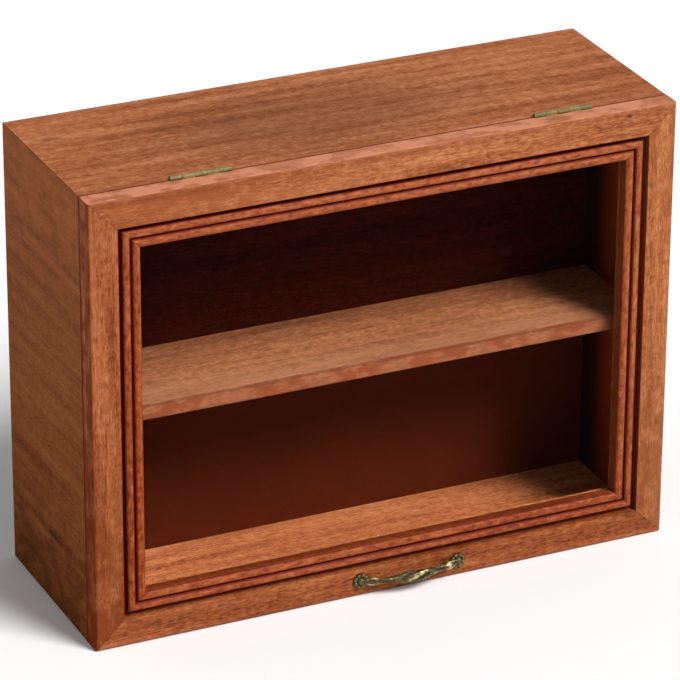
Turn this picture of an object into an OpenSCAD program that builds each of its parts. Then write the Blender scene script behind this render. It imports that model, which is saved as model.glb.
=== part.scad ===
// Thimble display case: a mitred wooden case with one shelf, and a glazed door hinged along its top edge.
// All sizes are in millimetres. +X is to the right, +Y to the back and +Z up.
// The origin is on the underside, at the middle of the carcass. The door hangs in front of the carcass.

/* [Case] */
// Width of the case, outside
case_w = 360; // [300:1:440]
// Height of the case, outside
case_h = 274; // [230:1:330]
// Depth of the carcass, without the door
case_d = 115; // [100:1:150]
// Thickness of the four carcass boards
board_t = 12; // [11:0.5:15]
// Radius that eases the carcass's outer edges
case_ease = 0.5; // [0.3:0.1:1.2]

/* [Case mitre tongues] */
// Thickness of the loose tongue in each case mitre
tongue_t = 3; // [2:0.5:3.5]
// Width of the tongue, from one board into the other
tongue_w = 8; // [6:0.5:8]
// How far a tongue stops short of the carcass's front and back edges
tongue_stop = 8; // [5:1:20]
// Wood between a tongue and the groove of the back panel, along the mitre
tongue_wood = 2; // [1.5:0.1:2.5]

/* [Back panel] */
// Thickness of the back panel
back_t = 4; // [3:0.5:6]
// Depth of the groove that holds the back panel in each board
back_groove = 4; // [3:0.5:4.5]
// Clearance between the back panel's faces and its groove
back_face_gap = 0.05; // [0.02:0.01:0.2]
// Clearance between the back panel's edges and the bottom of its groove
back_edge_gap = 0.5; // [0.2:0.1:1]
// Depth of the compartments, from the carcass's front edge to the back panel
display_depth = 69; // [50:0.5:80]

/* [Shelf] */
// Thickness of the shelf
shelf_t = 10; // [8:0.5:14]
// Height of the shelf's lower face above the underside of the case
shelf_z = 132; // [90:1:150]
// Depth of the housing in each side that takes the shelf's end
shelf_housing = 4; // [3:0.5:6]
// Clearance round the shelf's ends in their housings
shelf_gap = 0.05; // [0.02:0.01:0.2]
// Radius that eases the shelf's front edge
shelf_ease = 0.8; // [0.4:0.1:1.5]

/* [Door] */
// Thickness of the door members
door_t = 13; // [13:0.5:16]
// Gap between the closed door and the carcass
door_gap = 0.4; // [0.3:0.1:1]
// Height of the door's bottom edge above the underside of the case
door_lift = 0.3; // [0.3:0.1:1.5]
// Radius of the door's outer front edge
face_round = 2.2; // [1.5:0.1:3.5]
// Radius that eases the door's outer back edge
back_round = 0.3; // [0.2:0.1:0.8]

/* [Door moulding] */
// Width of the flat face of each door member
flat_w = 17.3; // [16:0.1:22]
// Width of the quirk between the flat face and the first reed
quirk_w = 2.9; // [2.2:0.1:3.6]
// Depth of the quirk
quirk_d = 4.8; // [4.4:0.1:5.2]
// Width of the first reed
reed_1_w = 4.8; // [4:0.1:5]
// Width of the second reed
reed_2_w = 5.6; // [4.6:0.1:5.8]
// Depth of the first reed's crest below the flat face
reed_1_drop = 0.3; // [0.2:0.1:1]
// Depth of the second reed's crest below the flat face
reed_2_drop = 0.4; // [0.2:0.1:1]
// Width of the groove between the two reeds
reed_gap_w = 0.6; // [0.4:0.1:1.2]
// Depth of the groove between the two reeds
reed_gap_d = 4; // [3.9:0.1:4.3]

/* [Door corner keys] */
// Thickness of the loose key in each door mitre
key_t = 3; // [2:0.5:3.5]
// Length of the key, from one member into the other
key_l = 14; // [10:1:16]
// Width of the key, along the mitre
key_w = 8; // [6:1:9]
// Depth of the key's middle behind the door's face
key_depth = 7.5; // [7:0.1:8]
// Distance of the key's middle from the door's two outer edges
key_inset = 9; // [8.5:0.1:10]

/* [Glazing] */
// Thickness of the glass
glass_t = 2; // [1.8:0.1:2.4]
// Depth of the front of the glass behind the door's face
glass_depth = 8; // [7.6:0.1:8.2]
// Width of the rebate that takes the glass
rebate_w = 6; // [5:0.1:6.5]
// Clearance between the glass's edges and the rebate
glass_gap = 0.5; // [0.3:0.1:1]
// Width of the strips that hold the glass
bead_w = 5; // [4:0.1:5]
// How far the strips stay below the door's back face
bead_drop = 0.4; // [0.2:0.1:0.6]
// Radius of the rounded inner edge of the strips
bead_round = 1.2; // [0.6:0.1:1.5]
// Radius of the brads that hold the strips
brad_r = 0.5; // [0.4:0.1:0.7]
// Length of the brads
brad_l = 9; // [8:0.5:10]
// Number of brads in each long strip
brad_count_long = 3; // [2:1:5]
// Number of brads in each short strip
brad_count_short = 2; // [2:1:4]
// Distance of the end brads from the strip's outer corner
brad_inset = 34; // [25:1:50]

/* [Hinges] */
// Length of each hinge
hinge_l = 36.5; // [32:0.5:44]
// Distance of the left hinge from the left side of the case
hinge_left_inset = 53.3; // [35:0.1:80]
// Distance of the right hinge from the right side of the case
hinge_right_inset = 48.3; // [35:0.1:80]
// Thickness of a hinge leaf
leaf_t = 1.2; // [1:0.1:1.4]
// How far a leaf reaches down from the top of the case
leaf_drop = 9; // [8.5:0.1:10]
// Outer radius of the hinge barrel
barrel_r = 1.45; // [1.4:0.05:1.7]
// Height of the barrel's axis above the top of the case
barrel_rise = 1; // [0.9:0.1:1.4]
// Number of knuckles in each barrel, which is odd
knuckles = 5; // [3:2:7]
// Gap between neighbouring knuckles
knuckle_gap = 0.2; // [0.15:0.05:0.5]
// Clearance round the barrel, in the wood and in the other leaf
barrel_clear = 0.3; // [0.25:0.05:0.4]
// Radius of the hinge pin
pin_r = 0.65; // [0.5:0.05:0.7]
// Radial clearance of the pin in the case leaf, where it is fixed
pin_fixed_gap = 0.02; // [0.01:0.01:0.03]
// Radial clearance of the pin in the door leaf, which turns on it
pin_running_gap = 0.05; // [0.03:0.01:0.09]
// Clearance of a leaf's edges in its recess
leaf_gap = 0.1; // [0.05:0.05:0.2]

/* [Hinge screws] */
// Shank radius of the hinge screws
screw_r = 1.1; // [0.9:0.1:1.2]
// Head radius of the hinge screws
screw_head_r = 2.1; // [1.9:0.1:2.3]
// Length of the hinge screws
screw_l = 9; // [7:0.5:9.5]
// Distance of a screw from the end of its leaf
screw_inset = 8; // [6:0.5:10]
// Depth of a screw below the top of the case
screw_drop = 5.2; // [5:0.1:5.6]
// Radial clearance of the screws and brads in their holes
hole_gap = 0.03; // [0.01:0.01:0.1]
// Width of the slot in each screw head
slot_w = 0.6; // [0.4:0.1:0.8]
// Depth of the slot in each screw head
slot_d = 0.5; // [0.3:0.1:0.6]

/* [Handle] */
// Distance between the middles of the handle's two rosettes
handle_span = 62; // [50:1:80]
// How far the handle's middle lies to the right of the door's middle
handle_offset = 14.5; // [-40:0.5:40]
// Height of the handle's middle above the door's bottom edge
handle_up = 9.8; // [8.5:0.1:10]
// Height of the bow's axis off the wood at its middle
bow_rise = 8; // [6.5:0.1:10]
// Height of the bow's axis off the wood at its ends
bow_foot = 1.8; // [1.5:0.1:2]
// Radius of the bow's necks
bow_neck_r = 1.5; // [1.4:0.1:1.9]
// Half the height of the leaf at the middle of the bow
leaf_half_h = 3.6; // [3:0.1:3.8]
// Half the thickness of the leaf at the middle of the bow
leaf_half_t = 2.3; // [2:0.1:2.5]
// Radius of the small bead on the bow beside each rosette
collar_r = 2.2; // [2:0.1:2.5]
// Thickness of the rosette's plate
rosette_t = 1.8; // [1.4:0.1:2.2]
// Height of the rosette's domed middle off the wood
rosette_h = 4.4; // [4:0.1:5]
// Radius of the rosette's plate
rosette_r = 3.6; // [3.2:0.1:4]
// Radius of each lobe round the rosette
lobe_r = 1.3; // [1:0.1:1.5]
// Number of lobes round the rosette
lobes = 8; // [6:1:10]
// How far the lobes stand above the rosette's plate
lobe_rise = 0.3; // [0.2:0.1:0.5]
// Thread radius of the handle screws
handle_screw_r = 1.25; // [1:0.05:1.4]
// Head radius of the handle screws
handle_head_r = 2.5; // [2.2:0.1:2.7]
// Head height of the handle screws
handle_head_h = 1.8; // [1.4:0.1:2]
// Depth of the handle screw's thread in the rosette
handle_thread = 2.8; // [2.4:0.1:3]
// How far the handle screws' heads lie below the door's back face
handle_sink = 0.6; // [0.4:0.1:1]

/* [Hidden] */
$fn = 64;

// A cut runs this far past the face that it opens
past = 1;

// Planes across the depth
front_y = -case_d / 2;
rear_y = case_d / 2;
door_back_y = front_y - door_gap;
door_face_y = door_back_y - door_t;
panel_y = front_y + display_depth;

// Inside of the carcass
inner_w = case_w - 2 * board_t;
inner_h = case_h - 2 * board_t;

// Middle of each mitre tongue, measured in from the two outer faces
tongue_c = board_t - back_groove - (tongue_wood + tongue_t / 2) * cos(45);

// Door outline and the parts of its members' width
door_w = case_w;
door_h = case_h - door_lift;
door_mid_z = door_lift + door_h / 2;
reed_1_u = flat_w + quirk_w;
reed_2_u = reed_1_u + reed_1_w + reed_gap_w;
member_w = reed_2_u + reed_2_w;

// Glass and the strips behind it
rebate_u = member_w - rebate_w;
glass_y = door_face_y + glass_depth;
bead_y = glass_y + glass_t;
bead_t = door_t - glass_depth - glass_t - bead_drop;
brad_y = bead_y + bead_t / 2;

// Hinge axis and the middle of each hinge
axis_y = front_y - door_gap / 2;
axis_z = case_h + barrel_rise;
hinge_left_x = -case_w / 2 + hinge_left_inset + hinge_l / 2;
hinge_right_x = case_w / 2 - hinge_right_inset - hinge_l / 2;
hinge_xs = [hinge_left_x, hinge_right_x];
pitch = hinge_l / knuckles;
screw_z = case_h - screw_drop;
screw_head_h = screw_head_r - screw_r;

// Handle
handle_z = door_lift + handle_up;
handle_xs = [handle_offset - handle_span / 2, handle_offset + handle_span / 2];

// A rectangle with its middle at the origin and rounded corners
module round_rect(w, h, r) {
  square([w - 2 * r, h], center = true);
  square([w, h - 2 * r], center = true);
  for (sx = [-1, 1], sy = [-1, 1])
    translate([sx * (w / 2 - r), sy * (h / 2 - r)])
      circle(r);
}

// The carcass's outer block, with every outer edge eased
module carcass_block() {
  intersection() {
    translate([0, rear_y, case_h / 2])
      rotate([90, 0, 0])
        linear_extrude(case_d)
          round_rect(case_w, case_h, case_ease);
    translate([-case_w / 2, 0, case_h / 2])
      rotate([90, 0, 90])
        linear_extrude(case_w)
          round_rect(case_d, case_h, case_ease);
    linear_extrude(case_h)
      round_rect(case_w, case_d, case_ease);
  }
}

// A board's outline across the case, mitred at both ends, with its outer face along y = 0
module mitred_outline(length, width) {
  polygon([
    [-length / 2, 0],
    [length / 2, 0],
    [length / 2 - width, width],
    [-length / 2 + width, width]
  ]);
}

// One carcass board lying along the bottom, long enough for the given length
module mitred_board(length) {
  translate([0, rear_y, 0])
    rotate([90, 0, 0])
      linear_extrude(case_d)
        mitred_outline(length, board_t);
}

// The space that the back panel's groove takes up, across all four boards
module panel_groove() {
  translate([-inner_w / 2 - back_groove, panel_y - back_face_gap, board_t - back_groove])
    cube([inner_w + 2 * back_groove, back_t + 2 * back_face_gap, inner_h + 2 * back_groove]);
}

// The space that the shelf's ends take up in the sides, open at the front
module shelf_housings() {
  length = inner_w + 2 * shelf_housing;
  translate([-length / 2, front_y - past, shelf_z - shelf_gap])
    cube([length, display_depth + past, shelf_t + 2 * shelf_gap]);
}

// Places its children at the four mitres of the case, turned square to each mitre
module at_case_mitres() {
  for (sx = [-1, 1], sz = [-1, 1])
    translate([sx * (case_w / 2 - tongue_c), 0, case_h / 2 + sz * (case_h / 2 - tongue_c)])
      rotate([0, 45 * sx * sz, 0])
        children();
}

// The loose tongues of the case mitres
module tongues() {
  at_case_mitres()
    cube([tongue_w, case_d - 2 * tongue_stop, tongue_t], center = true);
}

// The recesses in the top board and the door rail that take the hinges
module hinge_recesses(y_from, depth) {
  for (x = hinge_xs) {
    translate([x - hinge_l / 2 - leaf_gap, y_from, case_h - leaf_drop - leaf_gap])
      cube([hinge_l + 2 * leaf_gap, depth, leaf_drop + leaf_gap + past]);
    translate([x - hinge_l / 2 - leaf_gap, axis_y, axis_z])
      rotate([0, 90, 0])
        cylinder(r = barrel_r + barrel_clear, h = hinge_l + 2 * leaf_gap);
  }
}

// Places its children at each screw of each hinge, on the hinge's middle plane
module at_hinge_screws() {
  for (x = hinge_xs, side = [-1, 1])
    translate([x + side * (hinge_l / 2 - screw_inset), 0, screw_z])
      children();
}

// A countersunk wood screw that points to +Y, with its head's top on y = 0
module wood_screw() {
  difference() {
    rotate([-90, 0, 0]) {
      cylinder(r1 = screw_head_r, r2 = screw_r, h = screw_head_h);
      cylinder(r = screw_r, h = screw_l - 2 * screw_r);
      translate([0, 0, screw_l - 2 * screw_r])
        cylinder(r1 = screw_r, r2 = 0.1, h = 2 * screw_r);
    }
    translate([-screw_head_r - past, -past, -slot_w / 2])
      cube([2 * screw_head_r + 2 * past, slot_d + past, slot_w]);
  }
}

// The hole that a wood screw makes, with its countersink
module wood_screw_hole() {
  rotate([-90, 0, 0]) {
    translate([0, 0, -past])
      cylinder(r = screw_head_r + hole_gap, h = past);
    cylinder(r1 = screw_head_r + hole_gap, r2 = screw_r + hole_gap, h = screw_head_h);
    cylinder(r = screw_r + hole_gap, h = screw_l + past);
  }
}

// The screw holes of the case leaves and of the top board
module case_screw_holes() {
  at_hinge_screws()
    translate([0, front_y, 0])
      wood_screw_hole();
}

// The screw holes of the door leaves and of the top rail
module door_screw_holes() {
  at_hinge_screws()
    translate([0, door_back_y, 0])
      mirror([0, 1, 0])
        wood_screw_hole();
}

module top_board() {
  color("sienna")
    difference() {
      intersection() {
        translate([0, 0, case_h])
          mirror([0, 0, 1])
            mitred_board(case_w);
        carcass_block();
      }
      panel_groove();
      tongues();
      hinge_recesses(front_y - past, leaf_t + past);
      case_screw_holes();
    }
}

module bottom_board() {
  color("sienna")
    difference() {
      intersection() {
        mitred_board(case_w);
        carcass_block();
      }
      panel_groove();
      tongues();
    }
}

// The left side, which the right side mirrors
module side_board() {
  color("saddlebrown")
    difference() {
      intersection() {
        translate([-case_w / 2, 0, case_h / 2])
          rotate([0, 90, 0])
            mitred_board(case_h);
        carcass_block();
      }
      panel_groove();
      tongues();
      shelf_housings();
    }
}

module left_side() {
  side_board();
}

module right_side() {
  mirror([1, 0, 0])
    side_board();
}

module corner_tongues() {
  color("burlywood")
    tongues();
}

module back_panel() {
  reach = back_groove - back_edge_gap;
  color([0.2, 0.08, 0.04])
    translate([-inner_w / 2 - reach, panel_y, board_t - reach])
      cube([inner_w + 2 * reach, back_t, inner_h + 2 * reach]);
}

// The shelf's section, from its rounded front edge back to the panel
module shelf_section() {
  for (z = [shelf_ease, shelf_t - shelf_ease])
    translate([shelf_ease, z])
      circle(shelf_ease);
  translate([0, shelf_ease])
    square([2 * shelf_ease, shelf_t - 2 * shelf_ease]);
  translate([shelf_ease, 0])
    square([display_depth - back_face_gap - shelf_ease, shelf_t]);
}

module shelf() {
  length = inner_w + 2 * shelf_housing - 2 * shelf_gap;
  color("sienna")
    translate([-length / 2, front_y, shelf_z])
      rotate([90, 0, 90])
        linear_extrude(length)
          shelf_section();
}

// The section of one reed of the given width, with its round crest at the origin
module reed(width) {
  translate([width / 2, width / 2])
    circle(width / 2);
  translate([0, width / 2])
    square([width, quirk_d - width / 2]);
}

// The section of a door member: u runs in from the outer edge, v runs back from the face
module member_section() {
  difference() {
    union() {
      translate([0, face_round])
        square([flat_w, door_t - face_round - back_round]);
      translate([face_round, 0])
        square([flat_w - face_round, door_t - back_round]);
      translate([face_round, face_round])
        circle(face_round);
      translate([back_round, door_t - back_round])
        circle(back_round);
      translate([back_round, quirk_d])
        square([member_w - back_round, door_t - quirk_d]);
      translate([reed_1_u, reed_1_drop])
        reed(reed_1_w);
      translate([reed_2_u, reed_2_drop])
        reed(reed_2_w);
      translate([reed_1_u + reed_1_w / 2, reed_gap_d])
        square([reed_2_u - reed_1_u, quirk_d + past - reed_gap_d]);
    }
    translate([rebate_u, glass_depth])
      square([rebate_w + past, door_t - glass_depth + past]);
  }
}

// One door member lying along the bottom of the door, mitred at both ends, with its outer edge on z = 0
module door_member(length) {
  intersection() {
    translate([-length / 2, door_face_y, 0])
      rotate([90, 0, 90])
        linear_extrude(length)
          mirror([1, -1])
            member_section();
    translate([0, door_back_y + past, 0])
      rotate([90, 0, 0])
        linear_extrude(door_t + 2 * past)
          mitred_outline(length, member_w);
  }
}

// The loose keys of the door mitres
module keys() {
  for (sx = [-1, 1], sz = [-1, 1])
    translate([
      sx * (door_w / 2 - key_inset),
      door_face_y + key_depth,
      door_mid_z + sz * (door_h / 2 - key_inset)
    ])
      rotate([0, 45 * sx * sz, 0])
        cube([key_l, key_t, key_w], center = true);
}

// Places along one strip of glass bead, between its two end brads
function brad_places(length, count) =
  [for (i = [0:count - 1]) -length / 2 + brad_inset + i * (length - 2 * brad_inset) / (count - 1)];

// Points its children outward from a glass bead, at each brad of the frame
module at_brads() {
  reach = member_w - rebate_w + bead_w;
  for (x = brad_places(door_w, brad_count_long), sz = [-1, 1])
    translate([x, brad_y, door_mid_z + sz * (door_h / 2 - reach)])
      rotate([sz > 0 ? 0 : 180, 0, 0])
        children();
  for (z = brad_places(door_h, brad_count_short), sx = [-1, 1])
    translate([sx * (door_w / 2 - reach), brad_y, door_mid_z + z])
      rotate([0, 90 * sx, 0])
        children();
}

// The holes that the brads make in the strips and in the door members
module brad_holes() {
  at_brads()
    translate([0, 0, -past])
      cylinder(r = brad_r + hole_gap, h = brad_l + past + hole_gap);
}

module door_top_rail() {
  color("chocolate")
    difference() {
      translate([0, 0, case_h])
        mirror([0, 0, 1])
          door_member(door_w);
      keys();
      hinge_recesses(door_back_y - leaf_t, leaf_t + past);
      door_screw_holes();
      brad_holes();
    }
}

// The screw holes through the bottom rail, with a counterbore in its back face
module handle_holes() {
  for (x = handle_xs)
    translate([x, door_back_y + past, handle_z])
      rotate([90, 0, 0]) {
        cylinder(r = handle_screw_r + hole_gap, h = door_t + 2 * past);
        cylinder(r = handle_head_r + 0.3, h = past + handle_sink + handle_head_h);
      }
}

module door_bottom_rail() {
  color("chocolate")
    difference() {
      translate([0, 0, door_lift])
        door_member(door_w);
      keys();
      brad_holes();
      handle_holes();
    }
}

// The left stile, which the right stile mirrors
module stile() {
  color("peru")
    difference() {
      translate([-door_w / 2, 0, door_mid_z])
        rotate([0, 90, 0])
          door_member(door_h);
      keys();
      brad_holes();
    }
}

module door_left_stile() {
  stile();
}

module door_right_stile() {
  mirror([1, 0, 0])
    stile();
}

module door_corner_keys() {
  color("burlywood")
    keys();
}

module glass_pane() {
  w = door_w - 2 * (rebate_u + glass_gap);
  h = door_h - 2 * (rebate_u + glass_gap);
  color([0.8, 0.9, 0.9, 0.3])
    translate([-w / 2, glass_y, door_mid_z - h / 2])
      cube([w, glass_t, h]);
}

// The section of a glass strip: u runs in from the rebate's wall, v runs back from the glass
module bead_section() {
  square([bead_w - bead_round, bead_t]);
  square([bead_w, bead_t - bead_round]);
  translate([bead_w - bead_round, bead_t - bead_round])
    circle(bead_round);
}

// One glass strip lying along the bottom rebate, with its outer edge on z = 0
module glass_bead(length) {
  intersection() {
    translate([-length / 2, bead_y, 0])
      rotate([90, 0, 90])
        linear_extrude(length)
          mirror([1, -1])
            bead_section();
    translate([0, door_back_y + past, 0])
      rotate([90, 0, 0])
        linear_extrude(door_t + 2 * past)
          mitred_outline(length, bead_w);
  }
}

module glass_bead_bottom() {
  color("tan")
    difference() {
      translate([0, 0, door_lift + rebate_u])
        glass_bead(door_w - 2 * rebate_u);
      brad_holes();
    }
}

module glass_bead_top() {
  color("tan")
    difference() {
      translate([0, 0, case_h - rebate_u])
        mirror([0, 0, 1])
          glass_bead(door_w - 2 * rebate_u);
      brad_holes();
    }
}

// The left strip, which the right strip mirrors
module side_bead() {
  color("tan")
    difference() {
      translate([-door_w / 2 + rebate_u, 0, door_mid_z])
        rotate([0, 90, 0])
          glass_bead(door_h - 2 * rebate_u);
      brad_holes();
    }
}

module glass_bead_left() {
  side_bead();
}

module glass_bead_right() {
  mirror([1, 0, 0])
    side_bead();
}

module glass_bead_pins() {
  color("silver")
    at_brads()
      cylinder(r = brad_r, h = brad_l);
}

// The knuckles of one leaf, from the first given knuckle in steps of two
module knuckle_row(first, r, gap) {
  for (i = [first:2:knuckles - 1])
    translate([-hinge_l / 2 + i * pitch + gap / 2, 0, 0])
      rotate([0, 90, 0])
        cylinder(r = r, h = pitch - gap);
}

// One leaf of a hinge on the hinge's own axis, with its plate hanging down behind the axis
module hinge_leaf(first, bore_gap) {
  plate_y = door_gap / 2;
  other = 1 - first;
  difference() {
    union() {
      difference() {
        translate([-hinge_l / 2, plate_y, -barrel_rise - leaf_drop])
          cube([hinge_l, leaf_t, leaf_drop + barrel_rise]);
        knuckle_row(other, barrel_r + barrel_clear, -knuckle_gap);
      }
      knuckle_row(first, barrel_r, knuckle_gap);
    }
    translate([-hinge_l / 2 - past, 0, 0])
      rotate([0, 90, 0])
        cylinder(r = pin_r + bore_gap, h = hinge_l + 2 * past);
  }
}

module case_leaf(x) {
  color("goldenrod")
    difference() {
      translate([x, axis_y, axis_z])
        hinge_leaf(0, pin_fixed_gap);
      case_screw_holes();
    }
}

module door_leaf(x) {
  color("goldenrod")
    difference() {
      translate([x, axis_y, axis_z])
        mirror([0, 1, 0])
          hinge_leaf(1, pin_running_gap);
      door_screw_holes();
    }
}

// A hinge pin, flush with the ends of its barrel
module hinge_pin(x) {
  color("darkgoldenrod")
    translate([x - hinge_l / 2, axis_y, axis_z])
      rotate([0, 90, 0])
        cylinder(r = pin_r, h = hinge_l);
}

module hinge_left_case_leaf() {
  case_leaf(hinge_left_x);
}

module hinge_right_case_leaf() {
  case_leaf(hinge_right_x);
}

module hinge_left_door_leaf() {
  door_leaf(hinge_left_x);
}

module hinge_right_door_leaf() {
  door_leaf(hinge_right_x);
}

module hinge_left_pin() {
  hinge_pin(hinge_left_x);
}

module hinge_right_pin() {
  hinge_pin(hinge_right_x);
}

module hinge_case_screws() {
  color("gold")
    at_hinge_screws()
      translate([0, front_y, 0])
        wood_screw();
}

module hinge_door_screws() {
  color("gold")
    at_hinge_screws()
      translate([0, door_back_y, 0])
        mirror([0, 1, 0])
          wood_screw();
}

// Rings and sides of the bow's skin
bow_rings = 48;
bow_sides = 12;

// Places and reaches along the bow, as shares of its half length
foot_s = 0.92;
bead_s = 0.76;
bead_reach = 0.05;
leaf_reach = 0.4;

// How far the bow thins towards its ends, and how deep its twist is cut
thinning = 0.3;
twist_depth = 0.12;

// The bow's shape along its length: s runs from -1 at the left rosette to 1 at the right one
function bow_height(s) = bow_foot + (bow_rise - bow_foot) * cos(90 * min(1, abs(s) / foot_s));
function bow_x(s) = s * handle_span / 2;
function bow_slope(s) = (bow_height(s + 0.01) - bow_height(s - 0.01)) / (bow_x(s + 0.01) - bow_x(s - 0.01));
function leaf_swell(s) = exp(-pow(abs(s) / leaf_reach, 2.6));
function bead_swell(s) = exp(-pow((abs(s) - bead_s) / bead_reach, 2));
function end_taper(s) = 1 - thinning * pow(abs(s), 8);
function bow_half(s, leaf_half) =
  bow_neck_r * end_taper(s)
  + (leaf_half - bow_neck_r) * leaf_swell(s)
  + (collar_r - bow_neck_r) * bead_swell(s);
function twist_lobe(s, a) =
  1 + twist_depth * (1 - leaf_swell(s)) * (1 - bead_swell(s)) * cos(3 * a + 720 * s);

// One point of the bow's skin, at place s along it and angle a round it
function bow_point(s, a) =
  let (
    tilt = atan(bow_slope(s)),
    out = bow_half(s, leaf_half_t) * twist_lobe(s, a) * cos(a),
    up = bow_half(s, leaf_half_h) * twist_lobe(s, a) * sin(a)
  )
  [bow_x(s) + out * sin(tilt), -bow_height(s) + out * cos(tilt), up];

// The bow as one closed skin of rings
module bow() {
  ring_s = [for (i = [0:bow_rings]) 2 * i / bow_rings - 1];
  points = [for (s = ring_s, j = [0:bow_sides - 1]) bow_point(s, 360 * j / bow_sides)];
  skin = [
    for (i = [0:bow_rings - 1], j = [0:bow_sides - 1])
      let (k = (j + 1) % bow_sides, a = i * bow_sides, b = a + bow_sides)
      each [[a + j, b + k, a + k], [a + j, b + j, b + k]]
  ];
  last = bow_rings * bow_sides;
  ends = [
    [for (j = [0:bow_sides - 1]) j],
    [for (j = [bow_sides - 1:-1:0]) last + j]
  ];
  polyhedron(points, concat(skin, ends));
}

// One rosette standing on y = 0: a plate with a ring of round lobes, and a dome round the end of the bow
module rosette() {
  dome_r = rosette_h - rosette_t / 2;
  rotate([90, 0, 0])
    intersection() {
      union() {
        cylinder(r = rosette_r, h = rosette_t);
        for (i = [0:lobes - 1])
          rotate([0, 0, 360 * (i + 0.5) / lobes])
            translate([rosette_r, 0, rosette_t + lobe_rise - lobe_r])
              sphere(lobe_r);
        translate([0, 0, rosette_h - dome_r])
          sphere(dome_r);
      }
      cylinder(r = rosette_r + 2 * lobe_r, h = 2 * rosette_h);
    }
}

module handle_bow() {
  color("darkkhaki")
    difference() {
      translate([handle_offset, door_face_y, handle_z]) {
        bow();
        for (side = [-1, 1])
          translate([side * handle_span / 2, 0, 0])
            rosette();
      }
      for (x = handle_xs)
        translate([x, door_face_y + past, handle_z])
          rotate([90, 0, 0])
            cylinder(r = handle_screw_r + hole_gap, h = handle_thread + past + hole_gap);
    }
}

// A machine screw from the back of the bottom rail into a rosette
module handle_screw() {
  head_y = door_back_y - handle_sink;
  reach = door_t - handle_sink + handle_thread;
  translate([0, head_y, 0])
    rotate([90, 0, 0])
      difference() {
        union() {
          cylinder(r = handle_head_r, h = handle_head_h);
          cylinder(r = handle_screw_r, h = reach);
        }
        translate([-handle_head_r - past, -slot_w / 2, -past])
          cube([2 * handle_head_r + 2 * past, slot_w, slot_d + past]);
      }
}

module handle_screws() {
  color("silver")
    for (x = handle_xs)
      translate([x, 0, handle_z])
        handle_screw();
}

top_board();
bottom_board();
left_side();
right_side();
corner_tongues();
back_panel();
shelf();
hinge_left_case_leaf();
hinge_right_case_leaf();
hinge_left_pin();
hinge_right_pin();
hinge_case_screws();
door_top_rail();
door_bottom_rail();
door_left_stile();
door_right_stile();
door_corner_keys();
glass_pane();
glass_bead_top();
glass_bead_bottom();
glass_bead_left();
glass_bead_right();
glass_bead_pins();
hinge_left_door_leaf();
hinge_right_door_leaf();
hinge_door_screws();
handle_bow();
handle_screws();
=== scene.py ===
"""Looks of the thimble display case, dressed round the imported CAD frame. Metres, +X right, +Y back, +Z up."""

import math
from collections import namedtuple

import bmesh
import bpy
import numpy as np
from mathutils import Matrix, Vector


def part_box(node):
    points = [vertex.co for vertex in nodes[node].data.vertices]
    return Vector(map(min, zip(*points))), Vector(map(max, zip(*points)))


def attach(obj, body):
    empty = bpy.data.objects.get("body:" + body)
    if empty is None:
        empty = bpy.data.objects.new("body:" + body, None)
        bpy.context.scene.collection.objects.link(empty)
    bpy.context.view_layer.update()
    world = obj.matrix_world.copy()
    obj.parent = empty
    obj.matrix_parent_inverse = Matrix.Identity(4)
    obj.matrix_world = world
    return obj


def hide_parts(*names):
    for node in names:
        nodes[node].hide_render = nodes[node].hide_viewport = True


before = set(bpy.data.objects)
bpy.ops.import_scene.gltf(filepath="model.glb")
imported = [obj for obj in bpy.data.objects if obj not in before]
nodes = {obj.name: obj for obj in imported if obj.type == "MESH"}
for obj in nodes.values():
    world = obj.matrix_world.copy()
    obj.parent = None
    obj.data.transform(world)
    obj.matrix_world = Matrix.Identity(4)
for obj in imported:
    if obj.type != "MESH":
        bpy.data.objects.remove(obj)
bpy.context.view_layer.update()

MM = 0.001


def box_mm(node):
    """A node's lowest and highest corners at rest, in millimetres."""
    return tuple(tuple(round(c / MM, 2) for c in corner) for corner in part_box(node))


# Sizes in millimetres, read from the frame
top_low, top_high = box_mm("top_board")
side_low, side_high = box_mm("right_side")
shelf_low, shelf_high = box_mm("shelf")
rail_low, rail_high = box_mm("door_top_rail")
lowest_rail, _ = box_mm("door_bottom_rail")
glass_low, _ = box_mm("glass_pane")
bow_low, bow_high = box_mm("handle_bow")

SIDE_X = side_high[0]
INNER_X = side_low[0]
CASE_H = top_high[2]
CASE_FRONT = top_low[1]
CASE_BACK = top_high[1]
SHELF_TOP = shelf_high[2]
FACE_Y = rail_low[1]
DOOR_BACK = rail_high[1]
DOOR_BOTTOM = lowest_rail[2]
SEAM_Y = (CASE_FRONT + DOOR_BACK) / 2
MEMBER_W = round(rail_high[2] - rail_low[2], 2)
GLASS_DEPTH = round(glass_low[1] - FACE_Y, 2)
HANDLE_X = (bow_low[0] + bow_high[0]) / 2
HANDLE_Z = (bow_low[2] + bow_high[2]) / 2

# Sizes in millimetres that the frame's boxes don't show, as the CAD source has them
FLAT_W = 17.3
GROOVE_U = 25.3
HANDLE_SPAN = 62.0

SRGB_STEPS = 255


def light(r, g, b, gain=1.0):
    """An sRGB colour of 0 to 255 as linear light, divided by the gain that the lamps give it."""
    shares = [c / SRGB_STEPS for c in (r, g, b)]
    linear = [c / 12.92 if c <= 0.04045 else ((c + 0.055) / 1.055) ** 2.4 for c in shares]
    return tuple(c / gain for c in linear) + (1.0,)


# The sockets of a Mix node that take its share and two colours, and the one that gives the result
MIX_SHARE = 0
MIX_FIRST = 6
MIX_SECOND = 7
MIX_RESULT = 2


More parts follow.
